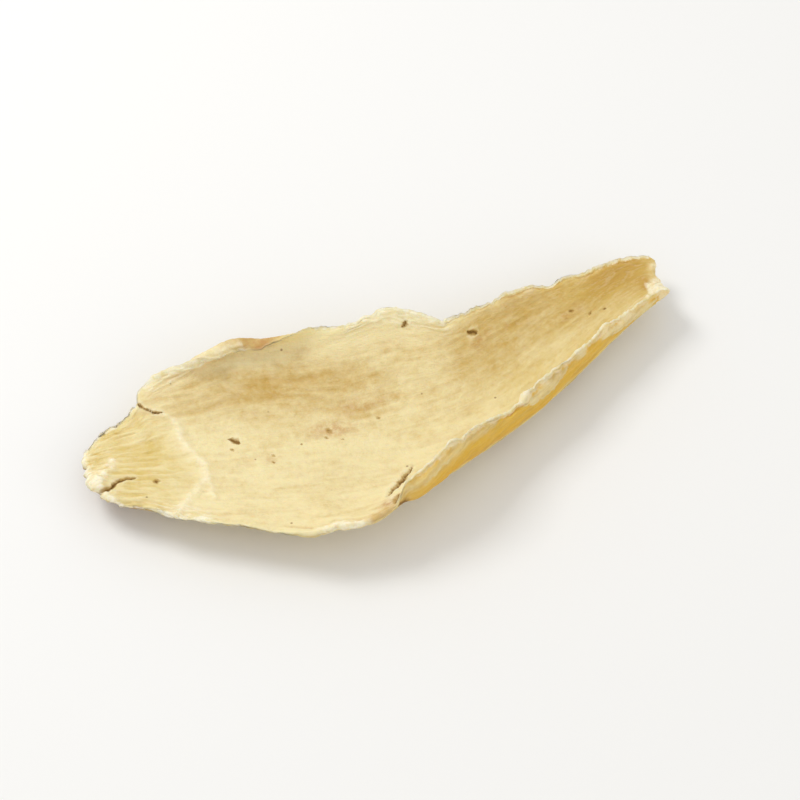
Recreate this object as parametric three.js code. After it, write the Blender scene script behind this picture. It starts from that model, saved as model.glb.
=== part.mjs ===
import * as THREE from "three";

// A dried scale of a lily bulb: one fleshy leaf of the bulb, torn off at its base and dried into a shallow,
// lopsided trough whose margins roll up. It grew as one piece, so it is one closed solid.
//
// Millimetres, +Z up. +X runs from the torn base to the tip, +Y to the margin that stands up highest.
// The origin is on the small flat of the belly that the scale rests on, below its centre of mass.

// Sections across the scale, base to tip. The keel is the line that runs lengthwise where the trough turns
// up, and keelY and keelZ say where it lies. From there the section is traced outwards over the surface, far
// to +Y and near to -Y. An arc is the distance to the margin, and a slope is how steep the wall is when it
// gets there, in degrees. The curl is how far the last part of the wall rolls over beyond that.
const SECTIONS = [
  //  x     keelY  keelZ  farArc  farSlope  farCurl  nearArc  nearSlope  nearCurl  thickness
  [-23.2,   0.2,   1.9,    1.5,      6,       0,       1.6,       6,        0,        0.6],
  [-22.9,   0.0,   1.8,    2.2,      8,       0,       2.2,       8,        0,        0.8],
  [-21.0,  -0.4,   1.5,    3.9,     14,       0,       3.5,      12,        0,        1.1],
  [-18.6,  -1.0,   1.2,    5.4,     26,       0,       4.9,      15,        0,        1.3],
  [-17.4,  -1.3,   1.0,    7.1,     34,       5,       5.3,      17,        0,        1.3],
  [-14.0,  -2.2,   0.6,    9.7,     52,      80,       6.7,      21,        0,        1.4],
  [-10.0,  -3.1,   0.3,   11.8,     58,     120,       8.3,      26,        0,        1.4],
  [ -6.0,  -4.0,   0.1,   11.5,     60,      60,       8.5,      33,        0,        1.4],
  [ -3.8,  -4.6,   0.0,   11.5,     60,      20,       8.4,      48,        0,        1.4],
  [ -2.7,  -4.8,   0.0,   11.5,     60,       8,       8.8,      62,       38,        1.3],
  [ -1.5,  -5.0,   0.0,   11.5,     60,       0,       9.1,      72,       55,        1.3],
  [  2.0,  -5.2,   0.1,   11.6,     60,       0,       8.1,     104,       12,        1.2],
  [  6.0,  -4.9,   0.3,    9.0,     62,       0,       6.4,     118,        0,        1.2],
  [ 10.0,  -4.0,   0.6,    8.2,     62,       0,       5.6,     122,        0,        1.1],
  [ 14.0,  -2.6,   1.1,    6.8,     60,       0,       5.0,     122,        0,        1.0],
  [ 18.0,  -1.2,   1.7,    4.9,     56,       0,       4.1,     118,        0,        0.9],
  [ 21.5,  -0.2,   2.4,    3.6,     50,       0,       3.1,     104,        0,        0.8],
  [ 23.0,   0.0,   2.7,    2.9,     46,       0,       2.4,      92,        0,        0.7],
  [ 24.2,   0.1,   2.9,    2.4,     41,       0,       1.9,      83,        0,        0.5],
];

const BEND = 1.25;             // how late the walls steepen: 1 would be a round trough
const CURL_START = { far: 0.84, near: 0.7 };   // share of the arc where the margin starts to roll over
const MARGIN_THICKNESS = 0.34;
const THINNING = 2.2;          // how late the thickness falls away towards the margins
const RIPPLES = [              // shallow waves along the margins, where the flesh shrank as it dried
  { length: 9.7, height: 0.13, phase: 0.25 },
  { length: 5.3, height: 0.10, phase: 0 },
  { length: 2.9, height: 0.05, phase: 1.9 },
];
const REST_ROLL = -8.0;        // degrees about X that bring the belly's resting point down
const REST_PITCH = 1.4;        // degrees about Y
const REST_POINT = { x: -2.0, y: -2.2 };
const FLAT_DEPTH = 0.10;       // how far the belly is flattened where the scale rests

const CELLS_ALONG = 60;
const CELLS_ACROSS = 26;
const ARC_STEPS = 24;
const PROBE = 0.004;           // step in u and v that the surface's directions are measured over

const FIRST_X = SECTIONS[0][0];
const LAST_X = SECTIONS[SECTIONS.length - 1][0];

const sectionSpline = new THREE.CubicInterpolant(
  SECTIONS.map((row) => row[0]),
  SECTIONS.flatMap((row) => row.slice(1)),
  SECTIONS[0].length - 1,
);

// u runs from 0 at the base to 1 at the tip.
function sectionAt(u) {
  const x = THREE.MathUtils.lerp(FIRST_X, LAST_X, u);
  const [keelY, keelZ, farArc, farSlope, farCurl, nearArc, nearSlope, nearCurl, thickness] =
    sectionSpline.evaluate(x);
  const far = { arc: farArc, slope: farSlope, curl: Math.max(farCurl, 0), curlStart: CURL_START.far };
  const near = { arc: nearArc, slope: nearSlope, curl: Math.max(nearCurl, 0), curlStart: CURL_START.near };
  return { x, keelY, keelZ, far, near, thickness };
}

// The middle of the scale's thickness. v runs from -1 at the near margin through 0 on the keel
// to 1 at the far margin.
function midSurface(u, v) {
  const section = sectionAt(u);
  const wall = v < 0 ? section.near : section.far;
  const side = v < 0 ? -1 : 1;
  const length = (wall.arc * Math.abs(v)) / ARC_STEPS;
  let y = section.keelY;
  let z = section.keelZ;
  for (let step = 0; step < ARC_STEPS; step++) {
    const reached = (Math.abs(v) * (step + 0.5)) / ARC_STEPS;
    const rolled = THREE.MathUtils.smoothstep(reached, wall.curlStart, 1);
    const angle = THREE.MathUtils.degToRad(wall.slope * reached ** BEND + wall.curl * rolled);
    y += side * Math.cos(angle) * length;
    z += Math.sin(angle) * length;
  }
  for (const ripple of RIPPLES) {
    const turn = (2 * Math.PI * section.x) / ripple.length + ripple.phase + side;
    z += ripple.height * Math.abs(v) ** 3 * Math.sin(turn);
  }
  return new THREE.Vector3(section.x, y, z);
}

function surfaceNormal(u, v) {
  const along = midSurface(u + PROBE, v).sub(midSurface(u - PROBE, v));
  const across = midSurface(u, v + PROBE).sub(midSurface(u, v - PROBE));
  return along.cross(across).normalize();
}

function outOfMargin(u, v) {
  return midSurface(u, v).sub(midSurface(u, v * (1 - PROBE))).normalize();
}

// A slab of cells is bent onto the surface: its top becomes the hollow inner face, its bottom the outer face,
// and its long sides the rounded margins.
function scaleGeometry() {
  const geometry = new THREE.BoxGeometry(1, 2, 2, CELLS_ALONG, CELLS_ACROSS, 2);
  const position = geometry.attributes.position;
  const cell = new THREE.Vector3();
  for (let i = 0; i < position.count; i++) {
    cell.fromBufferAttribute(position, i);
    const u = cell.x + 0.5;
    const v = cell.y;
    const thinned = Math.abs(v) ** THINNING;
    const half = THREE.MathUtils.lerp(sectionAt(u).thickness, MARGIN_THICKNESS, thinned) / 2;
    const point = midSurface(u, v).addScaledVector(surfaceNormal(u, v), half * cell.z);
    if (Math.abs(v) === 1) {
      point.addScaledVector(outOfMargin(u, v), half * (1 - cell.z ** 2));
    }
    position.setXYZ(i, point.x, point.y, point.z);
  }
  return geometry;
}

// Turned to lie as it rests, with the belly flattened where it touches.
function laidDown(geometry) {
  geometry.rotateX(THREE.MathUtils.degToRad(REST_ROLL));
  geometry.rotateY(THREE.MathUtils.degToRad(REST_PITCH));
  geometry.computeBoundingBox();
  geometry.translate(-REST_POINT.x, -REST_POINT.y, -geometry.boundingBox.min.z - FLAT_DEPTH);
  const position = geometry.attributes.position;
  for (let i = 0; i < position.count; i++) {
    position.setZ(i, Math.max(position.getZ(i), 0));
  }
  geometry.computeVertexNormals();
  return geometry;
}

const driedFlesh = new THREE.MeshStandardMaterial({ color: 0xe3cb8e, roughness: 0.62, metalness: 0 });
const lilyScale = new THREE.Mesh(laidDown(scaleGeometry()), driedFlesh);
lilyScale.name = "lily_scale";

const group = new THREE.Group();
group.add(lilyScale);

export default group;
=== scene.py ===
import math
from functools import partial

import bpy
import numpy as np
from mathutils import Matrix, Vector


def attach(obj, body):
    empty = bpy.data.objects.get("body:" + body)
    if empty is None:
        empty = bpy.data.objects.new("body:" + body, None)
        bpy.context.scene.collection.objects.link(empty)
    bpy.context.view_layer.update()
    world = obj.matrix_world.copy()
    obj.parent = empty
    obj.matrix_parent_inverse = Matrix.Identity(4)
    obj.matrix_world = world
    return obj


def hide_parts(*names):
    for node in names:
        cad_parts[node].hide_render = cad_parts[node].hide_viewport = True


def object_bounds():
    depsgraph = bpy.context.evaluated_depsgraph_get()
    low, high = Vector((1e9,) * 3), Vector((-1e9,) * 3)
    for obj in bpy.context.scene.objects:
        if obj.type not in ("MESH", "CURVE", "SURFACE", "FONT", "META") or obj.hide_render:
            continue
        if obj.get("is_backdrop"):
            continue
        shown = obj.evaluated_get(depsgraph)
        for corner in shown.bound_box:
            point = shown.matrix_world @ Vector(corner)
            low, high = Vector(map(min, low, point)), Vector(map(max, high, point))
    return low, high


# In metres: +X runs from the torn base to the tip, +Y to the margin that stands highest, and +Z up.
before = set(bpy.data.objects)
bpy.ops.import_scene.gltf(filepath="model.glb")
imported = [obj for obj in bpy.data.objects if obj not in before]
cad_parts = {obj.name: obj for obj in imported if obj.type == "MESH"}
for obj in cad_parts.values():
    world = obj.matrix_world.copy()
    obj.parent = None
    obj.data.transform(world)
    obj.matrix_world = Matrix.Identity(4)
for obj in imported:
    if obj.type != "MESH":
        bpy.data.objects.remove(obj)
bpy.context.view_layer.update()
mm = 0.001

# The form of the scale, in millimetres and degrees. Each section is traced out over the surface from the
# keel, far to +Y and near to -Y. An arc is the distance to the margin, a slope is how steep the wall is when
# it gets there, and a curl is how far the last of the wall rolls over beyond that.
scaleForm = {
    "sections": [
        #  x     keelY  keelZ  farArc  farSlope  farCurl  nearArc  nearSlope  nearCurl  thickness
        [-23.2,   0.2,   1.9,    1.5,      6,       0,       1.6,       6,        0,        0.6],
        [-22.9,   0.0,   1.8,    2.2,      8,       0,       2.2,       8,        0,        0.8],
        [-21.0,  -0.4,   1.5,    3.9,     14,       0,       3.5,      12,        0,        1.1],
        [-18.6,  -1.0,   1.2,    5.4,     26,       0,       4.9,      15,        0,        1.3],
        [-17.4,  -1.3,   1.0,    7.3,     34,       3,       5.3,      17,        0,        1.3],
        [-14.0,  -2.2,   0.6,    9.3,     52,      22,       6.7,      21,        0,        1.4],
        [-10.0,  -3.1,   0.3,   11.7,     58,     175,       8.3,      26,        0,        1.4],
        [ -6.0,  -4.0,   0.1,   11.5,     60,      90,       8.5,      33,        0,        1.4],
        [ -3.8,  -4.6,   0.0,   11.5,     60,      25,       8.4,      48,        0,        1.4],
        [ -2.7,  -4.8,   0.0,   11.5,     60,       8,       8.8,      62,       38,        1.3],
        [ -1.5,  -5.0,   0.0,   11.5,     60,       0,       9.1,      72,       55,        1.3],
        [  2.0,  -5.2,   0.1,   11.6,     60,       0,       8.1,     104,       12,        1.2],
        [  6.0,  -4.9,   0.3,    9.0,     62,       0,       6.4,     118,        0,        1.2],
        [ 10.0,  -4.0,   0.6,    8.2,     62,       0,       5.6,     122,        0,        1.1],
        [ 14.0,  -2.6,   1.1,    6.8,     60,       0,       5.0,     122,        0,        1.0],
        [ 18.0,  -1.2,   1.7,    4.9,     56,       0,       4.1,     118,        0,        0.9],
        [ 21.5,  -0.2,   2.4,    3.7,     50,       0,       3.1,     104,        0,        0.8],
        [ 23.0,   0.0,   2.7,    3.2,     47,       0,       2.4,      92,        0,        0.7],
        [ 24.0,   0.1,   2.9,    2.9,     44,       0,       1.9,      84,        0,        0.5],
    ],
    "bend": 1.25,              # how late the walls steepen: 1 is a round trough
    "curlStart": (0.84, 0.70),   # share of the far and the near arc where the margin starts to roll
    "marginThickness": 0.34,
    "thinning": 2.2,           # how late the thickness falls away towards the margins
    "feather": 0.6,            # the last of the margin thins out over this width
    "featherThickness": 0.12,
    "tipFeather": 0.25,        # the end of the tip is as thick as a margin is this far in
    # a margin that stays thick: side, first and last along, how much thicker
    "stoutMargin": (-1, -12.0, -3.3, 0.20),
    "ripples": [(9.7, 0.13, 0.25), (5.3, 0.10, 0.0), (2.9, 0.05, 1.9)],   # length, height, phase
    "tearReach": (4.5, 2.5),   # how far the torn base and the torn tip draw on the surface behind them
    "veinArc": 11,             # arc of a wall with its veins at full spacing: in a shorter one they close up
    "restRoll": -8.0,          # degrees about X, and then about Y, that lay it on its belly
    "restPitch": 1.4,
    "restPoint": (-2.0, -2.2),   # the place that comes to lie at the origin
    "flatDepth": 0.10,         # how far the belly is flattened where it rests
    "endRound": 0.28,          # how far the ends are rounded off
    "columns": 330,            # mesh cells along the scale
    "columnCrowding": 0.6,     # how much closer they lie towards both ends
    "rowsFar": 74,             # and across it, from the keel to each margin
    "rowsNear": 56,
    "rowCrowding": 0.35,       # how much closer they lie towards the margins
    "rimRows": 7,              # rows that round off a margin
    "endRows": 4,              # and columns that round off an end
}

# What happened to this one scale, with a few patches of painted shade and light. Places are (along, across)
# in millimetres over its surface from the keel.
scaleMarks = {
    "crease": [(-17.5, 5.9), (-16.1, 5.4), (-15.4, 4.3), (-15.6, 2.5), (-15.2, 1.1), (-14.8, 0.2),
               (-15.1, -1.2), (-17.4, -3.7), (-18.4, -5.0)],
    "creaseWidth": 0.38,
    "creaseFork": [(-15.0, -0.5), (-15.3, -3.6)],
    "forkWidth": 0.34,
    "creaseHeight": 0.17,
    "flapDrop": 0.13,          # how much lower the flap starts behind the crease
    "wander": (0.05, 0.03),    # how far a mark strays from its path, in a long and in a short wave
    "lipReach": 2.4,           # how far the lips of a crack reach, in widths of the crack
    "lipHeight": 0.08,
    # path, width, depth on the inner face. From 0.3 deep a crack shows faintly on the outer face, and from
    # 0.4 wide it is as brown there as on the inner.
    "cracks": [
        ([(-18.6, 7.6), (-17.4, 5.9), (-16.8, 5.5), (-15.9, 5.3)], 0.13, 0.20),
        ([(-23.9, -2.5), (-22.0, -1.5), (-21.2, -0.9), (-19.8, -0.7)], 0.18, 0.22),
        ([(-0.4, -2.7), (-2.0, -4.4), (-3.6, -6.3)], 0.22, 0.32),
        ([(-2.6, -6.6), (-2.95, -7.3), (-3.5, -8.0)], 0.44, 0.28),
        ([(-12.3, 2.62), (-12.0, 2.40), (-11.45, 2.12)], 0.28, 0.12),
        ([(3.85, 10.05), (3.6, 9.7), (3.3, 9.45)], 0.19, 0.07),
        ([(8.0, 6.72), (8.35, 6.5), (8.75, 6.2)], 0.24, 0.08),
    ],
    # along, across, radius along, radius across, depth
    "pits": [
        (-18.7, -1.25, 0.24, 0.21, 0.12),
        (-4.9, 2.4, 0.22, 0.24, 0.10),
        (-5.3, 1.8, 0.14, 0.12, 0.04),
        (-4.3, 1.5, 0.14, 0.12, 0.04),
        (-1.0, 2.9, 0.15, 0.14, 0.05),
        (16.65, 2.6, 0.21, 0.18, 0.06),
        (17.95, 1.3, 0.15, 0.13, 0.05),
        (19.15, 0.75, 0.14, 0.12, 0.04),
        (-9.6, 0.5, 0.15, 0.14, 0.05),
        (-9.9, -0.1, 0.13, 0.13, 0.05),
        (-12.4, 1.5, 0.14, 0.13, 0.04),
        (8.2, 6.6, 0.24, 0.19, 0.08),
    ],
    # the same on the outer face
    "scabs": [
        (-9.0, 3.6, 0.9, 0.45, 0.22),
        (-7.4, 3.9, 0.35, 0.2, 0.12),
        (6.5, -2.2, 0.32, 0.28, 0.2),
        (14.0, 1.6, 0.25, 0.2, 0.12),
        (-15.5, -2.5, 0.3, 0.25, 0.12),
        (1.5, 5.8, 0.5, 0.22, 0.14),
    ],
    # along, across, radius, height
    "lumps": [
        (-22.7, -0.9, 0.50, 0.30),
        (-12.4, 9.7, 0.60, 0.14),
        (-11.6, 10.4, 0.40, 0.12),
        (-22.1, -0.2, 0.50, 0.30),
        (-21.5, 0.5, 0.45, 0.26),
        (-21.1, 1.1, 0.35, 0.14),
        (-23.0, 0.5, 0.30, 0.16),
        (23.45, -1.05, 0.34, 0.34),
        (23.2, -1.60, 0.26, 0.34),
        (22.75, -1.8, 0.24, 0.26),
        (22.85, -1.1, 0.22, 0.20),
        (22.4, -1.4, 0.20, 0.16),
        (23.55, -0.35, 0.24, 0.16),
        (23.65, 0.4, 0.32, 0.10),
        (24.1, 1.8, 0.26, 0.08),
        (19.2, -3.55, 0.40, 0.10),
        (17.1, -4.0, 0.50, 0.16),
        (14.4, -4.6, 0.55, 0.08),
        (10.9, -5.1, 0.60, 0.12),
        (8.8, -5.7, 0.45, 0.34),
        (1.7, -8.3, 0.35, 0.10),
        (3.4, -6.7, 0.45, 0.10),
    ],
    # folds in the flesh: path, width, height, how pale, and the face: 1 inner, 0 outer
    "folds": [
        ([(22.9, -1.2), (20.5, -1.7), (18.0, -2.1), (15.5, -2.6)], 0.16, 0.14, 0.5, 1),
        ([(22.8, -0.7), (20.0, -1.1), (17.5, -1.4)], 0.14, 0.10, 0.4, 1),
        ([(0.2, -3.9), (-1.4, -5.3), (-3.0, -7.0)], 0.24, 0.16, 0.5, 1),
        ([(5.0, -4.5), (2.6, -5.3), (0.4, -5.4), (-1.0, -6.3)], 0.30, 0.12, 0.6, 1),
        ([(-3.6, -8.3), (-1.6, -8.5), (0.4, -8.1), (2.4, -7.5), (4.4, -6.6), (6.0, -6.0)],
         0.55, 0.03, 0.20, 0),
        ([(8.6, -5.3), (10.4, -5.1), (13.0, -4.7)], 0.34, 0.05, 0.45, 0),
        ([(8.9, -5.0), (10.2, -4.75), (11.6, -4.6), (12.8, -4.7)], 0.12, 0.09, 0.45, 0),
        ([(-1.4, -8.2), (0.2, -8.0), (1.4, -7.7)], 0.12, 0.08, 0.35, 0),
        ([(16.6, -4.1), (18.4, -3.65), (20.2, -3.2), (22.6, -2.2)], 0.24, 0.05, 0.45, 0),
        ([(17.4, -3.6), (19.0, -3.2), (20.8, -2.7), (22.4, -1.9)], 0.11, 0.10, 0.6, 0),
        ([(-20.6, -2.6), (-18.0, -3.9), (-15.5, -5.4)], 0.25, 0.06, 0.2, 1),
        ([(0.5, 10.8), (2.5, 10.8), (4.5, 9.5), (6.2, 8.3)], 0.80, 0.02, 0.6, 1),
        ([(1.0, -7.4), (4.0, -6.2), (7.0, -5.3), (10.0, -4.9), (13.0, -4.4)], 0.60, 0.03, 0.5, 1),
        ([(-13.6, 9.3), (-12.3, 10.2), (-11.0, 11.0), (-8.8, 11.5)], 0.60, 0.05, 0.9, 0),
        ([(-15.0, 8.6), (-13.2, 9.4), (-11.8, 10.2), (-10.6, 10.8)], 0.40, 0.05, 0.9, 1),
    ],
    # across as a share of the way to the margin, and how far the end is drawn back there
    "tear": [(-1.0, 1.25), (-0.86, 1.0), (-0.72, 0.45), (-0.62, 0.75), (-0.5, 0.12), (-0.3, 0.3),
             (-0.14, 0.02), (0.05, 0.22), (0.2, 0.05), (0.38, 0.42), (0.55, 0.12), (0.7, 0.3),
             (0.85, 0.2), (1.0, 0.55)],
    "tipTear": [(-1.0, 0.8), (-0.85, 0.2), (-0.68, 0.0), (-0.5, 0.1), (-0.3, -0.05), (0.0, 0.15),
                (0.15, -0.15), (0.35, -0.05), (0.6, -0.4), (0.8, -0.65), (1.0, -0.4)],
    # side (1 far, -1 near), along, half width, depth of a chip out of the margin, or below 0 of a tongue
    "chips": [
        (1, -17.75, 0.26, 0.80),
        (1, -0.2, 1.90, 0.85),
        (1, 1.5, 0.50, 0.40),
        (1, 3.6, 0.90, -0.30),
        (1, 6.3, 0.80, 0.40),
        (1, 8.2, 1.60, 0.22),
        (1, 10.6, 1.00, 0.50),
        (1, 15.7, 0.80, 0.48),
        (-1, -20.3, 1.30, 0.40),
        (-1, -3.3, 0.28, 0.45),
        (-1, -8.0, 0.35, 0.20),
        (-1, 1.5, 0.50, -0.25),
        (-1, 2.6, 0.40, 0.35),
        (-1, 7.1, 1.40, 0.50),
        (-1, 8.4, 0.30, 0.25),
        (-1, 10.3, 0.90, -0.30),
        (-1, 13.4, 0.80, 0.18),
        (-1, 17.2, 0.80, -0.28),
    ],
    # furrows beside the margin, with painted shade in them: side, first and last along, distance from the
    # margin, width, depth
    "furrows": [
        (1, 5.5, 23.2, 0.26, 0.08, 0.06),
        (-1, -12.5, -3.8, 0.62, 0.13, 0.12),
    ],
    # pale flaking on the margin: side, first and last along, strength
    "flaky": [
        (-1, -3.2, 22.5, 0.95),
        (1, -17.2, -9.0, 0.95),
        (1, -2.0, 7.6, 0.9),
        (-1, -20.4, -15.4, 1.0),
        (-1, -8.6, -6.4, 0.8),
        (1, 12.0, 15.0, 0.4),
    ],
    # the same for where the margin has no white edge
    "bare": [
        (1, -9.0, -3.0, 0.9),
        (-1, -16.5, -8.6, 0.8),
        (-1, -6.4, -1.2, 1.0),
    ],
    # drying to tan on the inner face, with some painted shade and painted light: along, across, half length,
    # half width, strength, below 0 where it stays cream or is painted lighter
    "dryAndPaintedLightPatches": [
        (-9.0, 7.0, 7.5, 3.2, 0.34),
        (-11.8, 6.4, 2.8, 2.2, 0.20),
        (-4.8, -8.7, 2.2, 0.6, 0.75),
        (-3.0, 6.6, 5.5, 1.6, 0.30),
        (-1.8, 3.9, 2.4, 0.8, 0.30),
        (12.0, 4.2, 7.0, 2.6, 0.50),
        (19.5, 1.4, 4.5, 2.4, 0.36),
        # the tan at the tip is partly its own and partly painted shade of the hollow under its curled rim
        (21.2, 2.9, 3.2, 1.3, 0.95),
        (22.4, 1.6, 1.4, 1.4, 0.50),
        (22.9, 0.4, 0.5, 0.8, 0.70),
        (12.5, 6.6, 4.5, 1.4, 0.35),
        # painted light: these two lighten the inner face under the rolled far lip, against the lip's shadow
        (-14.0, 7.8, 3.0, 1.4, -0.20),
        (-8.6, 9.4, 3.2, 1.3, -0.40),
        (0.5, 10.4, 4.5, 1.6, -0.45),
    ],
    # the same for orange-brown stains, then the face: 1 inner, 0 outer
    "stains": [
        (-4.6, 2.5, 1.7, 0.7, 0.45, 1),
        (-1.6, 4.4, 2.2, 0.6, 0.25, 1),
        (8.8, 5.6, 0.7, 0.6, 0.35, 1),
        (-9.9, 0.2, 0.7, 0.5, 0.25, 1),
        (16.4, 2.6, 1.2, 0.5, 0.25, 1),
        (-3.9, -7.4, 0.55, 0.6, 0.70, 1),
        (23.0, 0.5, 0.3, 0.5, 0.30, 1),
        (-7.6, 11.4, 1.7, 1.4, 0.50, 0),
        (-8.2, 3.7, 2.2, 0.9, 0.45, 0),
        (6.6, -2.2, 0.9, 0.7, 0.5, 0),
        (14.0, 1.6, 0.8, 0.6, 0.4, 0),
        (-3.2, -7.4, 0.6, 0.6, 0.4, 0),
    ],
}


# The smooth curve that joins the sections, the same as the solid's
def alongSpline(stations, values, x):
    step = np.clip(np.searchsorted(stations, x, side="right") - 1, 0, len(stations) - 2)
    slope = np.empty(len(stations))
    slope[1:-1] = (values[2:] - values[:-2]) / (stations[2:] - stations[:-2])
    slope[0] = (values[1] - values[0]) / (stations[1] - stations[0])
    slope[-1] = (values[-1] - values[-2]) / (stations[-1] - stations[-2])
    width = stations[step + 1] - stations[step]
    t = (x - stations[step]) / width
    start = (1 + 2 * t) * (1 - t) ** 2 * values[step] + t * (1 - t) ** 2 * width * slope[step]
    end = t * t * (3 - 2 * t) * values[step + 1] + t * t * (t - 1) * width * slope[step + 1]
    return start + end


def smoothstep(value, low, high):
    t = np.clip((value - low) / (high - low), 0, 1)
    return t * t * (3 - 2 * t)


# 1 on a stretch of the scale, fading in after its first place and out before its last
def onStretch(along, first, last, fadeIn, fadeOut):
    return smoothstep(along, first, first + fadeIn) * smoothstep(along, last, last - fadeOut)


# The middle of the scale's thickness: x lies along it, and v runs from -1 at the near margin through 0 on the
# keel to 1 at the far margin.
def midSurface(form, x, v):
    table = np.array(form["sections"], float)
    keelY, keelZ, farArc, farSlope, farCurl, nearArc, nearSlope, nearCurl, thickness = [
        alongSpline(table[:, 0], table[:, column], x) for column in range(1, 10)]
    far = v >= 0
    arc = np.where(far, farArc, nearArc)
    slope = np.where(far, farSlope, nearSlope)
    curl = np.maximum(np.where(far, farCurl, nearCurl), 0)
    curlStart = np.where(far, *form["curlStart"])
    y = np.zeros_like(x)
    z = np.zeros_like(x)
    steps = 48
    for k in range(steps):
        reached = np.abs(v) * (k + 0.5) / steps
        angle = np.radians(slope * reached ** form["bend"] + curl * smoothstep(reached, curlStart, 1))
        y += np.cos(angle)
        z += np.sin(angle)
    length = arc * np.abs(v) / steps
    side = np.where(far, 1, -1)
    y = keelY + side * y * length
    z = keelZ + z * length
    for rippleLength, height, phase in form["ripples"]:
        z += height * np.abs(v) ** 3 * np.sin(2 * np.pi * x / rippleLength + phase + side)
    return np.stack([x, y, z], -1), arc, thickness


def unit(vectors):
    return vectors / np.linalg.norm(vectors, axis=-1, keepdims=True)


# How far each point is from a path, in widths of it. The width narrows to both ends.
def farFromPath(along, across, path, width, taper=0.5):
    points = np.array(path, float)
    lengths = np.linalg.norm(np.diff(points, axis=0), axis=1)
    before = np.concatenate([[0], np.cumsum(lengths)])
    nearest = np.full(along.shape, np.inf)
    share = np.zeros(along.shape)
    for k, length in enumerate(lengths):
        start, run = points[k], points[k + 1] - points[k]
        t = np.clip(((along - start[0]) * run[0] + (across - start[1]) * run[1]) / length ** 2, 0, 1)
        gap = np.hypot(along - start[0] - t * run[0], across - start[1] - t * run[1])
        closer = gap < nearest
        nearest = np.where(closer, gap, nearest)
        share = np.where(closer, (before[k] + t * length) / before[-1], share)
    atEnds = 0.02      # share of the width that is left there
    widthThere = width * (atEnds + np.sin(np.pi * np.clip(share, 0, 1)) ** taper)
    return nearest / widthThere


# The same from a spot, in half widths of it
def farFromSpot(along, across, spot):
    place, over, halfLength, halfWidth = spot
    return np.hypot((along - place) / halfLength, (across - over) / halfWidth)


# 1 at no distance, falling off smoothly to 0
def closeness(distance):
    return np.exp(-distance ** 2)


# The marks as height out of the faces in millimetres, and as masks that the material reads. Inside runs from
# 0 on the outer face to 1 on the inner, and gap is the distance to the margin.
def readMarks(marks, along, across, inside, side, gap):
    inner, outer = smoothstep(inside, 0.45, 0.95), smoothstep(inside, 0.55, 0.05)
    # nothing tears in a straight line
    long, short = marks["wander"]
    along = along + long * np.sin(5.3 * across - 1.9 * along) + short * np.sin(13.1 * across + 4.7 * along)
    across = across + long * np.sin(6.1 * along + 1.7 * across) + short * np.sin(12.7 * along - 4.2 * across)
    crease = np.array(marks["crease"])
    pastCrease = np.interp(across, crease[::-1, 1], crease[::-1, 0]) - along
    ridge = closeness(farFromPath(along, across, marks["crease"], marks["creaseWidth"], taper=0.3))
    fork = closeness(farFromPath(along, across, marks["creaseFork"], marks["forkWidth"]))
    ridge = np.maximum(ridge, 0.9 * fork)
    # the flap drops at once behind the crease and comes back up over some millimetres
    flap = smoothstep(pastCrease, -0.2, 2.6)
    height = inner * (marks["creaseHeight"] * ridge
                      - marks["flapDrop"] * smoothstep(pastCrease, -0.2, 1.2)
                      * np.exp(-np.maximum(pastCrease, 0) / 3.5))
    height -= outer * 0.4 * marks["creaseHeight"] * ridge
    pale = 0.65 * inner * ridge
    # how far it is to a crack or a pit stays a distance, so the material can draw it sharper than the mesh
    unhurt = 4.0       # further off than the brown of a wound reaches
    wound = np.full_like(along, unhurt)
    for path, width, depth in marks["cracks"]:
        distance = farFromPath(along, across, path, width)
        lips = closeness(distance / marks["lipReach"]) - closeness(distance)
        height += inner * (marks["lipHeight"] * lips - depth * closeness(distance))
        height -= outer * 0.35 * max(depth - 0.25, 0) * closeness(distance)
        hidden = unhurt * (1 - inner) * (1 - 0.8 * outer * (depth >= 0.3)) * (width < 0.4)
        wound = np.minimum(wound, distance + hidden)
        pale = np.maximum(pale, 0.8 * inner * lips)
    for face, spots in ((inner, marks["pits"]), (outer, marks["scabs"])):
        for *spot, depth in spots:
            distance = farFromSpot(along, across, spot)
            height -= depth * face * closeness(distance)
            wound = np.minimum(wound, distance + unhurt * (1 - face))
    rimToo = np.maximum(inner, 0.6 * smoothstep(gap, 0.7, 0.2))
    for place, over, radius, lift in marks["lumps"]:
        bump = rimToo * closeness(farFromSpot(along, across, (place, over, radius, radius)))
        height += lift * bump
        pale = np.maximum(pale, bump)
    stainAndFurrowShade = np.zeros_like(along)
    for path, width, lift, white, face in marks["folds"]:
        fold = (inner if face else outer) * closeness(farFromPath(along, across, path, width))
        height += lift * fold
        pale = np.maximum(pale, white * fold)
    for furrowSide, first, last, fromMargin, width, depth in marks["furrows"]:
        run = onStretch(along, first, last, 1.5, 1.5) * (side == furrowSide)
        furrow = inner * run * closeness((gap + 0.1 * np.sin(1.9 * along) - fromMargin) / width)
        height -= depth * furrow
        # painted shade: the bottom of a furrow is darkened through the stain mask
        stainAndFurrowShade = np.maximum(stainAndFurrowShade, 0.25 * furrow)
    onMargin = {}
    for name in ("flaky", "bare"):
        onMargin[name] = np.zeros_like(along)
        for marginSide, first, last, strength in marks[name]:
            run = onStretch(along, first, last, 1.2, 1.2)
            onMargin[name] = np.maximum(onMargin[name], strength * run * (side == marginSide))
    dryAndPaintedLight = np.zeros_like(along)
    for *patch, strength in marks["dryAndPaintedLightPatches"]:
        dryAndPaintedLight = 1 - (1 - dryAndPaintedLight) * (1 - strength * closeness(farFromSpot(along, across, patch)))
    for *patch, strength, face in marks["stains"]:
        blot = (inner if face else outer) * strength * closeness(farFromSpot(along, across, patch))
        stainAndFurrowShade = np.maximum(stainAndFurrowShade, blot)
    return height, {"wound": wound, "pale": pale, "flap": flap, "dryAndPaintedLight": dryAndPaintedLight, "stainAndFurrowShade": stainAndFurrowShade, **onMargin}


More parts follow.
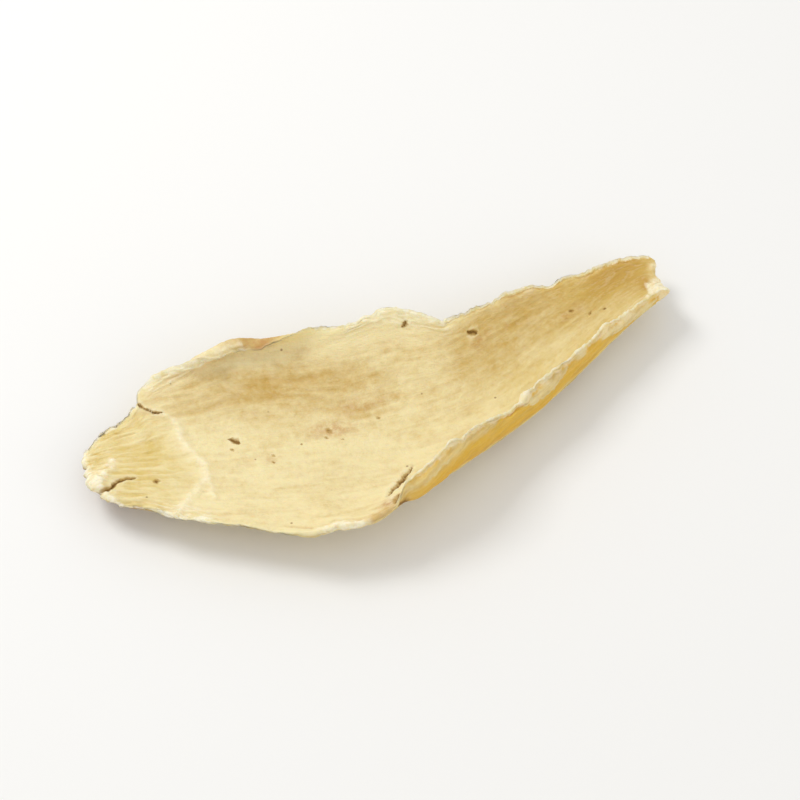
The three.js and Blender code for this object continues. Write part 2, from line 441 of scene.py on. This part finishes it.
# The scale as one closed skin. A ring of points goes round each section: inner face, near rim, outer face and
# far rim.
def makeScaleMesh(form, marks):
    first, last = form["sections"][0][0], form["sections"][-1][0]
    # columns crowd towards both ends and rows towards both margins, where the small shapes are
    gather = form["columnCrowding"]
    even = np.linspace(-1, 1, form["columns"] + 1)
    reach = (last - first) / 2 - form["endRound"]
    columnX = (first + last) / 2 + reach * np.sin(even * gather * np.pi / 2) / np.sin(gather * np.pi / 2)
    farRows, nearRows = [t + form["rowCrowding"] / np.pi * np.sin(np.pi * t)
                         for t in (np.linspace(0, 1, form[name] + 1) for name in ("rowsFar", "rowsNear"))]
    rowV = np.concatenate([farRows[::-1], -nearRows[1:]])
    # each end is closed by a few more columns that round it off
    ends = form["endRows"]
    turn = np.linspace(0, np.pi / 2, ends + 1)[1:]
    endRise = np.concatenate([turn[::-1], np.zeros(len(columnX)), turn])[:, None]
    endSign = np.concatenate([-np.ones(ends), np.zeros(len(columnX)), np.ones(ends)])[:, None]
    columnX = np.concatenate([np.full(ends, columnX[0]), columnX, np.full(ends, columnX[-1])])

    x, v = [grid.copy() for grid in np.meshgrid(columnX, rowV, indexing="ij")]
    tear, tipTear = np.array(marks["tear"]), np.array(marks["tipTear"])
    baseReach, tipReach = form["tearReach"]
    drawnBack = np.interp(v, tear[:, 0], tear[:, 1])
    x += drawnBack * smoothstep(x, first + baseReach, first)
    tipDrawnBack = np.interp(v, tipTear[:, 0], tipTear[:, 1])
    x -= tipDrawnBack * smoothstep(x, last - tipReach, last)
    for chipSide, place, halfWidth, depth in marks["chips"]:
        bite = depth * closeness((x - place) / halfWidth)
        arcHere = midSurface(form, x, np.full_like(x, chipSide))[1]
        # a high power of v keeps the bite to the last of the wall
        v -= np.where(np.sign(v) == chipSide, v * bite / arcHere * np.abs(v) ** 10, 0)
    mid, arc, thickness = midSurface(form, x, v)
    upward = unit(np.cross(np.gradient(mid, axis=0), -np.gradient(mid, axis=1)))
    upward[:ends] = upward[ends + 1]
    upward[-ends:] = upward[-ends - 2]
    gap = (1 - np.abs(rowV)) * arc
    tipGap = np.minimum(gap, np.maximum(last - tipDrawnBack - x, 0))
    half = (thickness + (form["marginThickness"] - thickness) * np.abs(v) ** form["thinning"]) / 2
    stoutSide, stoutFirst, stoutLast, stoutMore = form["stoutMargin"]
    stout = onStretch(x, stoutFirst, stoutLast, 2.5, 1.2)
    stout *= np.sign(v) == stoutSide
    thin = form["featherThickness"] / form["marginThickness"]
    thin = thin + (1 - thin) * 0.8 * stout       # a stout margin hardly thins out at all
    half *= thin + (1 - thin) * smoothstep(np.minimum(gap, tipGap + form["tipFeather"]), 0, form["feather"])
    half += stout * stoutMore / 2 * np.abs(v) ** 8

    # ring says which row each point of the ring belongs to, and ringRise turns it from face to face
    count = len(rowV)
    rim = np.linspace(np.pi / 2, -np.pi / 2, form["rimRows"] + 2)[1:-1]
    ring = np.concatenate([np.arange(count), np.full(len(rim), count - 1), np.arange(count)[::-1],
                           np.zeros(len(rim), int)])
    ringRise = np.concatenate([np.full(count, np.pi / 2), rim, np.full(count, -np.pi / 2), rim[::-1]])
    onRim = np.abs(np.sin(ringRise)) < 0.999
    outFar, outNear = unit(mid[:, 0] - mid[:, 1]), unit(mid[:, -1] - mid[:, -2])
    outward = np.where((ring <= form["rowsFar"])[None, :, None], outFar[:, None], outNear[:, None])
    upward = upward[:, ring]
    facing = upward * np.sin(ringRise)[:, None] + outward * (np.cos(ringRise) * onRim)[:, None]
    facing = facing * np.cos(endRise)[..., None]
    facing[..., 0] += endSign * np.sin(endRise)
    along, across = x[:, ring], (v * arc)[:, ring]
    inside = (np.sin(ringRise)[None] + 1) / 2 + np.zeros_like(along)
    side = np.where(ring <= form["rowsFar"], 1, -1)[None] + np.zeros_like(along)
    plain = mid[:, ring] + facing * half[:, ring][..., None]
    height, masks = readMarks(marks, along, across, inside, side, gap[:, ring])
    point = plain + facing * height[..., None]

    # laid down as it rests, with the belly flattened where it touches
    lay = np.array(Matrix.Rotation(math.radians(form["restPitch"]), 3, "Y")
                   @ Matrix.Rotation(math.radians(form["restRoll"]), 3, "X")).T
    floorZ = (plain @ lay)[..., 2].min() + form["flatDepth"]
    point = point @ lay - np.array([*form["restPoint"], floorZ])
    point[..., 2] = np.maximum(point[..., 2], 0)

    # number the points, with the last column at each end folded shut
    number = np.arange(along.size).reshape(along.shape)
    number[0] = number[0][ring]
    number[-1] = number[-1][ring]
    after = np.roll(number, -1, axis=1)
    quads = np.stack([number[:-1], after[:-1], after[1:], number[1:]], -1).reshape(-1, 4)

    # a strip of the map for each face, unrolled round the ring from the keel, so that nothing bakes stretched
    stepLength = np.linalg.norm(np.roll(point, -1, axis=1) - point, axis=-1)
    roundRing = np.concatenate([np.zeros((len(along), 1)), np.cumsum(stepLength, 1)], 1)
    innerKeel, outerKeel = form["rowsFar"], len(ring) - len(rim) - 1 - form["rowsFar"]
    nearSplit, farSplit = count + len(rim) // 2, len(ring) - len(rim) // 2
    clear = 1.0        # millimetres of the map left free at each end
    endStretch = 0.3   # and taken by each radian that an end turns through
    mapSize = last - first + 2 * clear
    mapX = (columnX + endSign[:, 0] * endRise[:, 0] * endStretch - first + clear) / mapSize
    corners = []
    for k in range(len(ring)):
        outer = nearSplit <= k < farSplit
        centre = 0.75 if outer else 0.25
        start = roundRing[:, outerKeel if outer else innerKeel] + (roundRing[:, -1] if k >= farSplit else 0)
        strip = [centre + (roundRing[:, j] - start) / mapSize for j in (k, k + 1)]
        corners.append(np.stack([
            np.stack([mapX[:-1], strip[0][:-1]], -1), np.stack([mapX[:-1], strip[1][:-1]], -1),
            np.stack([mapX[1:], strip[1][1:]], -1), np.stack([mapX[1:], strip[0][1:]], -1)], 1))
    corners = np.stack(corners, 1).reshape(-1, 4, 2)

    used, compact = np.unique(quads, return_inverse=True)
    faces, uvs = [], []
    for quad, spots in zip(compact.reshape(-1, 4).tolist(), corners):
        kept = [k for k in range(4) if quad[k] != quad[k - 1]]
        if len({quad[k] for k in kept}) > 2:
            faces.append([quad[k] for k in kept])
            uvs.extend(spots[kept])
    mesh = bpy.data.meshes.new("lily_scale")
    mesh.from_pydata((point.reshape(-1, 3)[used] * mm).tolist(), [], faces)
    mesh.uv_layers.new(name="OFBake").data.foreach_set("uv", np.array(uvs, np.float32).reshape(-1))
    masks.update({
        "along": along, "inside": inside, "gap": tipGap[:, ring],
        "lateral": (np.sign(v) * np.abs(v) * np.sqrt(arc * form["veinArc"]))[:, ring],
        "tornGap": (x - drawnBack - first)[:, ring],
    })
    for name, values in masks.items():
        layer = mesh.attributes.new(name, "FLOAT", "POINT")
        layer.data.foreach_set("value", values.reshape(-1)[used].astype(np.float32))
    for name, values in {"outOfMargin": outward @ lay, "upward": upward @ lay}.items():
        layer = mesh.attributes.new(name, "FLOAT_VECTOR", "POINT")
        layer.data.foreach_set("vector", values.reshape(-1, 3)[used].astype(np.float32).reshape(-1))
    mesh.update()
    return mesh


# Blender's name for each kind of node, its settings, the sockets that values go into, and the outlet in use
nodeKinds = {
    **{name: ("ShaderNodeMath", {"operation": name.upper()}, (0, 1), 0)
       for name in ("add", "subtract", "multiply", "divide", "maximum", "absolute", "sign", "cosine")},
    "multiplyAdd": ("ShaderNodeMath", {"operation": "MULTIPLY_ADD"}, (0, 1, 2), 0),
    "range": ("ShaderNodeMapRange", {}, (0, 1, 2, 3, 4), 0),
    "smooth": ("ShaderNodeMapRange", {"interpolation_type": "SMOOTHSTEP"}, (0, 1, 2, 3, 4), 0),
    "blend": ("ShaderNodeMix", {"data_type": "RGBA"}, (0, 6, 7), 2),
    "redOf": ("ShaderNodeSeparateColor", {}, (0,), 0),
    "point": ("ShaderNodeCombineXYZ", {}, (0, 1, 2), 0),
    "scale": ("ShaderNodeVectorMath", {"operation": "SCALE"}, (0, "Scale"), 0),
    "stretch": ("ShaderNodeVectorMath", {"operation": "MULTIPLY"}, (0, 1), 0),
    "atLeast": ("ShaderNodeVectorMath", {"operation": "MAXIMUM"}, (0, 1), 0),
    "noise": ("ShaderNodeTexNoise", {}, ("Vector", "Scale", "Detail", "Roughness", "Distortion"), 0),
    "seededNoise": ("ShaderNodeTexNoise", {"noise_dimensions": "4D"},
                    ("Vector", "W", "Scale", "Detail", "Roughness", "Distortion"), 0),
    "cellDistance": ("ShaderNodeTexVoronoi", {}, ("Vector", "Scale"), "Distance"),
    "cellColour": ("ShaderNodeTexVoronoi", {}, ("Vector", "Scale"), "Color"),
    "attribute": ("ShaderNodeAttribute", {}, (), "Fac"),
    "objectCoordinates": ("ShaderNodeTexCoord", {}, (), "Object"),
    "bump": ("ShaderNodeBump", {}, ("Strength", "Distance", "Height"), 0),
    "principled": ("ShaderNodeBsdfPrincipled", {"subsurface_method": "RANDOM_WALK"},
                   ("Base Color", "Roughness", "Normal", "IOR", "Specular IOR Level", "Subsurface Weight",
                    "Subsurface Radius", "Subsurface Scale"), 0),
    "materialOutput": ("ShaderNodeOutputMaterial", {}, ("Surface",), None),
    "read": ("GeometryNodeInputNamedAttribute", {"data_type": "FLOAT"}, ("Name",), 0),
    "readVector": ("GeometryNodeInputNamedAttribute", {"data_type": "FLOAT_VECTOR"}, ("Name",), 0),
    "store": ("GeometryNodeStoreNamedAttribute", {"data_type": "FLOAT", "domain": "POINT"},
              ("Geometry", "Name", "Value"), 0),
    "position": ("GeometryNodeInputPosition", {}, (), 0),
    "normal": ("GeometryNodeInputNormal", {}, (), 0),
    "move": ("GeometryNodeSetPosition", {}, ("Geometry", "Offset"), 0),
    "place": ("GeometryNodeSetPosition", {}, ("Geometry", "Position"), 0),
    "shadeSmooth": ("GeometryNodeSetShadeSmooth", {}, ("Geometry",), 0),
    "realize": ("GeometryNodeRealizeInstances", {}, ("Geometry",), 0),
    "setMaterial": ("GeometryNodeSetMaterial", {}, ("Geometry", "Material"), 0),
    "groupOutput": ("NodeGroupOutput", {}, ("Geometry",), None),
}


def addNode(tree, kind, *values, **settings):
    blenderName, usualSettings, sockets, outlet = nodeKinds[kind]
    node = tree.nodes.new(blenderName)
    for name, value in {**usualSettings, **settings}.items():
        setattr(node, name, value)
    for socket, value in zip(sockets, values):
        if isinstance(value, bpy.types.NodeSocket):
            tree.links.new(value, node.inputs[socket])
        else:
            node.inputs[socket].default_value = value
    return None if outlet is None else node.outputs[outlet]


def linearColour(hexCode):
    parts = [int(hexCode[k:k + 2], 16) / 255 for k in (1, 3, 5)]
    return tuple(p / 12.92 if p <= 0.04045 else ((p + 0.055) / 1.055) ** 2.4 for p in parts) + (1.0,)


# The relief that drying gives the flesh, in millimetres. Each layer has a length along the scale, a width
# across it and a height.
scaleRelief = {
    "Vein Spacing": 1.15,
    "Vein Height": 0.05,
    "Pucker Length": 4.6,
    "Pucker Width": 2.8,
    "Pucker Height": 0.22,
    "Wrinkle Length": 1.9,
    "Wrinkle Width": 0.62,
    "Wrinkle Height": 0.10,
    "Fibre Length": 1.0,
    "Fibre Width": 0.30,
    "Fibre Height": 0.03,
    "Crinkle Length": 2.6,     # sharp little creases
    "Crinkle Width": 1.0,
    "Crinkle Height": -0.05,
    "Inner Share": 0.55,       # how much of these shows on the smoother inner face
    "Flap Share": 3.8,         # and how much more of the wrinkles and fibres on the flap
    "Buckle Length": 2.0,      # waves that run into the margins
    "Buckle Height": 0.26,
    "Flake Length": 0.8,       # skin that lifts along the margins
    "Flake Width": 0.42,
    "Flake Height": 0.07,
    "Crumb Size": 0.55,        # lumps of starch on the torn ends and the flaking margins
    "Crumb Height": 0.20,
    "Pleat Length": 3.2,       # thin ridges that run beside the flaking margins
    "Pleat Width": 0.42,
    "Pleat Height": 0.10,
    "Fray Length": 0.5,        # teeth in the margins
    "Fray Depth": 0.26,
    "Seed": 4.0,
}


def makeReliefTree(relief):
    tree = bpy.data.node_groups.new("driedRelief", "GeometryNodeTree")
    node = partial(addNode, tree)
    tree.interface.new_socket("Geometry", in_out="INPUT", socket_type="NodeSocketGeometry")
    for name, value in relief.items():
        tree.interface.new_socket(name, in_out="INPUT", socket_type="NodeSocketFloat").default_value = value
    tree.interface.new_socket("Material", in_out="INPUT", socket_type="NodeSocketMaterial")
    tree.interface.new_socket("Geometry", in_out="OUTPUT", socket_type="NodeSocketGeometry")
    given = tree.nodes.new("NodeGroupInput").outputs
    read = {name: node("read", name) for name in (
                "along", "lateral", "inside", "gap", "tornGap", "flaky", "flap")}
    read.update({name: node("readVector", name) for name in ("outOfMargin", "upward")})
    along, lateral, inside, gap = read["along"], read["lateral"], read["inside"], read["gap"]
    body = given["Geometry"]

    # noise stretched to a length along the scale and a width across it, from -1 to 1
    def stretchedNoise(length, width, third, detail, distortion=0.0, across=lateral):
        where = node("point", node("divide", along, length), node("divide", across, width), third)
        noise = node("seededNoise", where, given["Seed"], 1.0, detail, 0.55, distortion)
        return node("multiplyAdd", noise, 2.0, -1.0)

    # veins run the length of the scale and close up towards both ends, on each face in a pattern of its own
    face = node("multiply", inside, 9.0)
    phase = node("multiplyAdd", stretchedNoise(9.0, 3.6, face, 2.0), 2.2,
                 node("divide", lateral, given["Vein Spacing"]))
    wave = node("cosine", node("multiply", phase, 2 * math.pi))
    swell = node("smooth", stretchedNoise(6.0, 2.5, face, 1.0), -0.35, 0.35, 0.1, 1.0)
    height = node("multiply", node("multiply", wave, swell), given["Vein Height"])
    for name, detail, distortion in (("Pucker", 2.0, 0.4), ("Wrinkle", 3.0, 0.9), ("Fibre", 2.0, 0.3)):
        layer = stretchedNoise(given[name + " Length"], given[name + " Width"], face, detail, distortion)
        if name != "Pucker":
            layer = node("multiply", layer, node("smooth", read["flap"], 0.0, 1.0, 1.0, given["Flap Share"]))
        height = node("multiplyAdd", layer, given[name + " Height"], height)
    creases = stretchedNoise(given["Crinkle Length"], given["Crinkle Width"], face, 3.0, 1.2)
    crinkle = node("smooth", node("absolute", creases), 0.0, 0.09, 1.0, 0.0)
    height = node("multiplyAdd", crinkle, given["Crinkle Height"], height)
    # less of it on the inner face, and half as much at the tip
    share = node("range", inside, 0.0, 1.0, 1.0, given["Inner Share"])
    height = node("multiply", node("multiply", height, share), node("smooth", along, 12.0, 20.0, 1.0, 0.5))
    body = node("store", body, "crinkle", crinkle)
    body = node("store", body, "relief", height)

    # starch crumbles out of both ends, and along the margins where the skin lifts
    sideOfKeel = node("multiply", node("sign", lateral), 6.0)      # gives each margin a pattern of its own
    flakeEdge = node("multiplyAdd", stretchedNoise(given["Flake Length"], 1.2, sideOfKeel, 3.0),
                     node("multiply", given["Flake Width"], 1.5), given["Flake Width"])
    lifted = node("multiply", node("smooth", node("subtract", flakeEdge, gap), -0.10, 0.10, 0.0, 1.0),
                  read["flaky"])
    pleats = stretchedNoise(given["Pleat Length"], given["Pleat Width"], sideOfKeel, 2.0, 0.4, gap)
    pleats = node("multiply", node("smooth", node("absolute", pleats), 0.0, 0.28, 1.0, 0.0),
                  node("multiply", read["flaky"], node("smooth", gap, 1.9, 0.7, 0.0, 1.0)))
    pleats = node("multiply", pleats, node("smooth", inside, 0.2, 0.8, 0.2, 1.0))
    outerShare = node("smooth", lateral, -1.0, 1.0, 0.12, 0.6)
    lifted = node("multiply", lifted, node("smooth", inside, 0.0, 0.8, outerShare, 1.0))
    inCrumbs = node("scale", node("position"), node("divide", 1 / mm, given["Crumb Size"]))
    crumbs = node("seededNoise", inCrumbs, given["Seed"], 1.0, 3.0, 0.6)
    atTip = node("multiply", node("smooth", along, 21.9, 23.3, 0.0, 1.0),
                 node("smooth", lateral, 2.5, -1.0, 0.4, 1.2))
    atEnds = node("add", atTip, node("smooth", read["tornGap"], 1.3, 0.1, 0.0, 1.0))
    loose = node("maximum", atEnds, node("multiply", lifted, node("smooth", lateral, -1.0, 1.0, 0.2, 0.5)))
    crumbled = node("multiply", node("multiply", loose, node("multiplyAdd", crumbs, 2.0, -0.75)),
                    given["Crumb Height"])
    height = node("add", height, node("multiplyAdd", lifted, given["Flake Height"], crumbled))
    height = node("multiplyAdd", pleats, given["Pleat Height"], height)
    lifted = node("maximum", lifted, node("multiply", pleats, 0.8))
    body = node("store", body, "lifted", lifted)
    body = node("store", body, "crumbs", node("multiply", loose, crumbs))
    body = node("move", body, node("scale", node("normal"), node("multiply", height, mm)))

    # the sheet buckles near the margins, both faces together
    buckle = node("multiply", stretchedNoise(given["Buckle Length"], 5.0, sideOfKeel, 2.0),
                  node("smooth", gap, 2.0, 0.0, 0.0, 1.0))
    buckle = node("multiply", node("multiply", buckle, given["Buckle Height"]), mm)
    body = node("move", body, node("scale", read["upward"], buckle))

    # teeth in the margins only go inwards, so the outline never grows
    teeth = stretchedNoise(given["Fray Length"], 8.0, sideOfKeel, 3.0)
    teeth = node("range", teeth, -0.25, 0.5, 0.0, given["Fray Depth"])
    teeth = node("multiply", teeth, node("smooth", gap, 0.9, 0.0, 0.0, -mm))
    body = node("move", body, node("scale", read["outOfMargin"], teeth))

    # nothing goes under the table
    body = node("place", body, node("atLeast", node("position"), (-1.0, -1.0, 0.0)))
    body = node("realize", node("shadeSmooth", body))
    node("groupOutput", node("setMaterial", body, given["Material"]))
    return tree


# Dried lily bulb flesh: starch and skin set like thick parchment. The eye gets cream that turns tan in
# streaks and clouds, a dull satin, light glowing in the thin margins and a white, flaky cut along them.
driedFlesh = {
    "cream": "#f1e2ae",
    "tan": "#c8a14c",
    "flapYellow": "#dcc06a",
    # this brown paints the real stains and also the painted shade in the furrows
    "stainAndShadeBrown": "#b97a38",
    # the margin white is partly the starch's own and partly a painted highlight along the edges
    "margin": "#fff6da",
    "marginShade": "#f1e0ac",
    "outerCream": "#e5d08e",
    "outerShade": "#b8964e",
    # honey is partly the wall's own colour and partly a painted warm glow
    "honeyAndGlow": "#e3ad28",
    "khaki": "#e0b22c",
    "baseBrown": "#9a6534",
    "crackTan": "#b08736",
    "crackBrown": "#835d19",
    "freckleBrown": "#8a5f2a",
    # patterns by their size in millimetres: along and across the veins, or one size all ways
    "streak": (3.5, 0.5),
    "cloud": (5.0, 3.2),
    "flakingSkin": (1.6, 0.35),
    "fibre": (0.9, 0.16),
    "mottle": 0.55,
    "flake": 0.75,
    "freckleSpacing": 1.25,
    "raggedWound": 0.25,
    "dimple": 0.5,
    "starchGrain": 0.15,       # coarser than the real 0.03, which wouldn't show
    "fineHeight": 0.06,        # how much the finest relief stands out, in millimetres
    "roughness": 0.55,
    "ior": 1.45,
    "specular": 0.4,
    "translucency": 0.25,
    "glowDepth": 0.8,          # how far light wanders inside the flesh, in millimetres
}


def makeDriedFlesh(look):
    material = bpy.data.materials.new("driedBulbFlesh")
    material.use_nodes = True
    tree = material.node_tree
    tree.nodes.clear()
    node = partial(addNode, tree)
    colour = {name: linearColour(value) for name, value in look.items() if isinstance(value, str)}
    read = {name: node("attribute", attribute_name=name) for name in (
                "along", "lateral", "inside", "gap", "wound", "pale", "flap", "bare", "dryAndPaintedLight", "stainAndFurrowShade",
                "relief", "crinkle", "lifted", "crumbs")}

    # noise along the veins, by its size in millimetres along and across
    flow = node("point", read["along"], read["lateral"], node("multiply", read["inside"], 20.0))

    def flowNoise(length, width, detail, distortion=0.0):
        where = node("stretch", flow, (1 / length, 1 / width, 1))
        return node("noise", where, 1.0, detail, 0.6, distortion)

    inMillimetres = node("scale", node("objectCoordinates"), 1 / mm)

    streak = flowNoise(*look["streak"], 4.0, 0.4)
    cloud = flowNoise(*look["cloud"], 5.0, 0.5)
    mottle = node("noise", inMillimetres, 1 / look["mottle"], 4.0, 0.65)
    flake = node("noise", inMillimetres, 1 / look["flake"], 5.0, 0.7)

    # inner face: cream that dries to tan, darker in the troughs of the relief, yellower on the flap and the
    # tip half
    drynessAndPaintedLight = node("multiplyAdd", cloud, 0.8, node("subtract", read["dryAndPaintedLight"], 0.27))
    drynessAndPaintedLight = node("multiplyAdd", streak, 0.35, drynessAndPaintedLight)
    drynessAndPaintedLight = node("multiplyAdd", mottle, 0.6, drynessAndPaintedLight)
    drynessAndPaintedLight = node("multiplyAdd", read["relief"], -1.8, drynessAndPaintedLight)
    innerColour = node("blend", node("smooth", drynessAndPaintedLight, 0.42, 1.35, 0.0, 1.0), colour["cream"], colour["tan"])
    yellow = node("maximum", read["flap"], node("smooth", read["along"], 3.0, 13.0, 0.0, 0.75))
    yellow = node("multiply", yellow, node("smooth", cloud, 0.35, 0.65, 0.35, 0.9))
    yellow = node("multiply", yellow, node("smooth", read["dryAndPaintedLight"], 0.45, 0.85, 1.0, 0.2))
    yellow = node("multiply", yellow, node("smooth", read["relief"], -0.06, 0.09, 1.0, 0.25))
    innerColour = node("blend", yellow, innerColour, colour["flapYellow"])

    # outer face: cream with darker streaks, honey with a painted warm glow on the rolled near wall, rough
    # brown skin at the base
    shade = node("add", node("smooth", streak, 0.38, 0.72, 0.0, 0.45),
                 node("smooth", cloud, 0.45, 0.7, 0.0, 0.55))
    outerColour = node("blend", shade, colour["outerCream"], colour["outerShade"])
    nearWall = node("multiply", node("smooth", read["lateral"], -0.5, -3.0, 0.0, 0.8),
                    node("smooth", read["along"], -9.0, 1.5, 0.0, 1.0))
    downWall = node("multiplyAdd", read["along"], 0.09, read["gap"])
    nearWall = node("multiply", nearWall, node("smooth", downWall, 2.4, 3.8, 1.0, 0.0))
    nearWall = node("smooth", node("multiplyAdd", streak, 1.2, nearWall), 0.75, 1.35, 0.0, 0.95)
    nearWall = node("multiply", nearWall, node("smooth", read["pale"], 0.02, 0.28, 1.0, 0.12))
    # painted glow: the wall turns from khaki to honey towards its lower edge, partly its own colour and
    # partly standing in for light shining through it there
    wallColourAndGlow = node("blend", node("smooth", read["gap"], 0.8, 2.6, 0.0, 1.0), colour["khaki"],
                      colour["honeyAndGlow"])
    wallColourAndGlow = node("blend", node("smooth", streak, 0.42, 0.7, 0.0, 0.4), wallColourAndGlow, colour["outerShade"])
    outerColour = node("blend", nearWall, outerColour, wallColourAndGlow)
    brown = node("multiplyAdd", cloud, 1.4, node("smooth", read["along"], -14.0, -23.0, -1.1, 0.1))
    outerColour = node("blend", node("smooth", brown, 0.0, 1.0, 0.0, 1.0), outerColour, colour["baseBrown"])
    surface = node("blend", node("smooth", read["inside"], 0.2, 0.6, 0.0, 1.0), outerColour, innerColour)
    # orange-brown stains, and painted shade in the bottoms of the furrows beside the margins
    surface = node("blend", node("multiply", read["stainAndFurrowShade"], node("smooth", mottle, 0.35, 0.65, 0.3, 1.3)),
                   surface, colour["stainAndShadeBrown"])

    # freckles about 0.2 mm across, few of them
    cells = node("cellDistance", inMillimetres, 1 / look["freckleSpacing"])
    rare = node("redOf", node("cellColour", inMillimetres, 1 / look["freckleSpacing"]))
    freckle = node("multiply", node("smooth", cells, 0.05, 0.10, 0.7, 0.0),
                   node("smooth", rare, 0.72, 0.78, 0.0, 1.0))
    surface = node("blend", freckle, surface, colour["freckleBrown"])

    # a thin white line on the margin, crumbling starch behind it, and pale skin along creases, their white
    # partly a painted highlight
    cut = node("smooth", node("multiplyAdd", flake, -0.9, read["gap"]), -0.42, -0.15, 0.85, 0.0)
    cut = node("multiply", cut, node("subtract", 1.0, read["bare"]))
    line = node("smooth", read["gap"], 0.08, 0.16, 0.6, 0.0)
    cut = node("maximum", cut, node("multiply", line, node("smooth", read["bare"], 0.3, 0.9, 1.0, 0.35)))
    peeling = flowNoise(*look["flakingSkin"], 3.0, 0.5)
    flaking = node("multiply", read["lifted"], node("smooth", peeling, 0.35, 0.6, 0.4, 1.0))
    skin = node("multiply", read["pale"], node("smooth", flake, 0.38, 0.58, 0.45, 1.0))
    white = node("maximum", node("maximum", cut, flaking),
                 node("maximum", skin, node("smooth", read["crumbs"], 0.25, 0.5, 0.0, 0.9)))
    white = node("maximum", white,
                 node("multiply", read["crinkle"], node("smooth", read["inside"], 0.3, 0.8, 0.05, 0.18)))
    chalkAndHighlight = node("maximum", node("smooth", mottle, 0.35, 0.6, 0.0, 1.0), read["pale"])
    chalkAndHighlight = node("blend", chalkAndHighlight, colour["marginShade"], colour["margin"])
    white = node("multiply", white, node("smooth", read["inside"], 0.05, 0.6, 0.6, 1.0))
    surface = node("blend", white, surface, chalkAndHighlight)

    # cracks and pits, dark in the middle and tan round it
    ragged = node("noise", inMillimetres, 1 / look["raggedWound"], 3.0, 0.6)
    wound = node("multiplyAdd", ragged, 1.2, node("subtract", read["wound"], 0.6))
    surface = node("blend", node("smooth", wound, 0.7, 1.5, 0.75, 0.0), surface, colour["crackTan"])
    surface = node("blend", node("smooth", wound, 0.3, 0.8, 0.95, 0.0), surface, colour["crackBrown"])

    # fibres, dimples and starch grain finer than the mesh holds
    grain = node("noise", inMillimetres, 1 / look["starchGrain"], 3.0, 0.6)
    dimples = node("noise", inMillimetres, 1 / look["dimple"], 2.0, 0.5)
    fine = node("multiplyAdd", grain, 0.6, flowNoise(*look["fibre"], 3.0, 0.5))
    fine = node("multiplyAdd", dimples, 1.6, fine)
    bump = node("bump", 0.9, look["fineHeight"] * mm, fine)
    rough = node("multiplyAdd", cloud, 0.2, look["roughness"] - 0.1)
    glowColour = (1.0, 0.7, 0.35)
    shader = node("principled", surface, rough, bump, look["ior"], look["specular"], look["translucency"],
                  glowColour, look["glowDepth"] * mm)
    node("materialOutput", shader)
    return material


flesh = makeDriedFlesh(driedFlesh)
print("material: dried bulb flesh")

base = bpy.data.objects.new("scaleBase", makeScaleMesh(scaleForm, scaleMarks))
bpy.context.scene.collection.objects.link(base)
reliefTree = makeReliefTree(scaleRelief)
modifier = base.modifiers.new("relief", "NODES")
modifier.node_group = reliefTree
for item in reliefTree.interface.items_tree:
    if item.in_out == "INPUT" and item.name == "Material":
        modifier[item.identifier] = flesh
graph = bpy.context.evaluated_depsgraph_get()
scaleMesh = bpy.data.meshes.new_from_object(base.evaluated_get(graph), preserve_all_data_layers=True,
                                            depsgraph=graph)
bpy.data.objects.remove(base)
scale = bpy.data.objects.new("lily_scale_dried", scaleMesh)
bpy.context.scene.collection.objects.link(scale)
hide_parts("lily_scale")
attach(scale, "root")
print(f"scale: {len(scaleMesh.vertices)} points, {len(scaleMesh.polygons)} faces")

# Plain pale table, soft light from behind on the left, and a long lens
studio = {
    "floorColour": "#f2f1ee",
    "floorRoughness": 0.9,
    "worldStrength": 0.74,
    "lamps": [
        # name, place from the scale in metres, size, watts
        ("key", (-0.10, 0.14, 0.20), 0.10, 0.28),
        ("fill", (0.16, -0.18, 0.10), 0.15, 0.08),
    ],
    "cameraTurn": -25.9,       # degrees round the scale from straight on
    "cameraHeight": 57.6,      # degrees above the table
    "cameraRoll": 3.6,
    "lens": 100.0,
    "frameWidth": 0.060,       # what the picture takes in across the scale, in metres
}

floorMesh = bpy.data.meshes.new("floor")
floorMesh.from_pydata([(-1, -1, 0), (1, -1, 0), (1, 1, 0), (-1, 1, 0)], [], [(0, 1, 2, 3)])
floor = bpy.data.objects.new("floor", floorMesh)
bpy.context.scene.collection.objects.link(floor)
# mount board: nearly white, a touch warm and quite matt
board = bpy.data.materials.new("paleMountBoard")
board.use_nodes = True
boardShader = board.node_tree.nodes["Principled BSDF"]
boardShader.inputs["Base Color"].default_value = linearColour(studio["floorColour"])
boardShader.inputs["Roughness"].default_value = studio["floorRoughness"]
floorMesh.materials.append(board)
floor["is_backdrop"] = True

world = bpy.data.worlds.new("studio")
world.use_nodes = True
background = world.node_tree.nodes["Background"]
background.inputs["Color"].default_value = (1, 1, 1, 1)
background.inputs["Strength"].default_value = studio["worldStrength"]
bpy.context.scene.world = world

low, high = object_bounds()
centre = (low + high) / 2
for name, spot, size, watts in studio["lamps"]:
    lamp = bpy.data.lights.new(name, "AREA")
    lamp.size = size
    lamp.energy = watts
    lampObject = bpy.data.objects.new(name, lamp)
    lampObject.location = centre + Vector(spot)
    lampObject.rotation_euler = (-Vector(spot)).to_track_quat("-Z", "Y").to_euler()
    bpy.context.scene.collection.objects.link(lampObject)

turn, rise = math.radians(studio["cameraTurn"]), math.radians(studio["cameraHeight"])
back = Vector((math.sin(turn) * math.cos(rise), -math.cos(turn) * math.cos(rise), math.sin(rise)))
lens = bpy.data.cameras.new("camera")
lens.lens = studio["lens"]
lens.clip_start, lens.clip_end = 0.01, 10
camera = bpy.data.objects.new("camera", lens)
camera.location = centre + back * (studio["frameWidth"] * studio["lens"] / lens.sensor_width)
roll = Matrix.Rotation(math.radians(studio["cameraRoll"]), 3, "Z")
aim = (-back).to_track_quat("-Z", "Y").to_matrix() @ roll
camera.rotation_euler = aim.to_euler()
bpy.context.scene.collection.objects.link(camera)
bpy.context.scene.camera = camera
bpy.context.scene.view_settings.view_transform = "Standard"
print("studio: table, two lamps, camera")
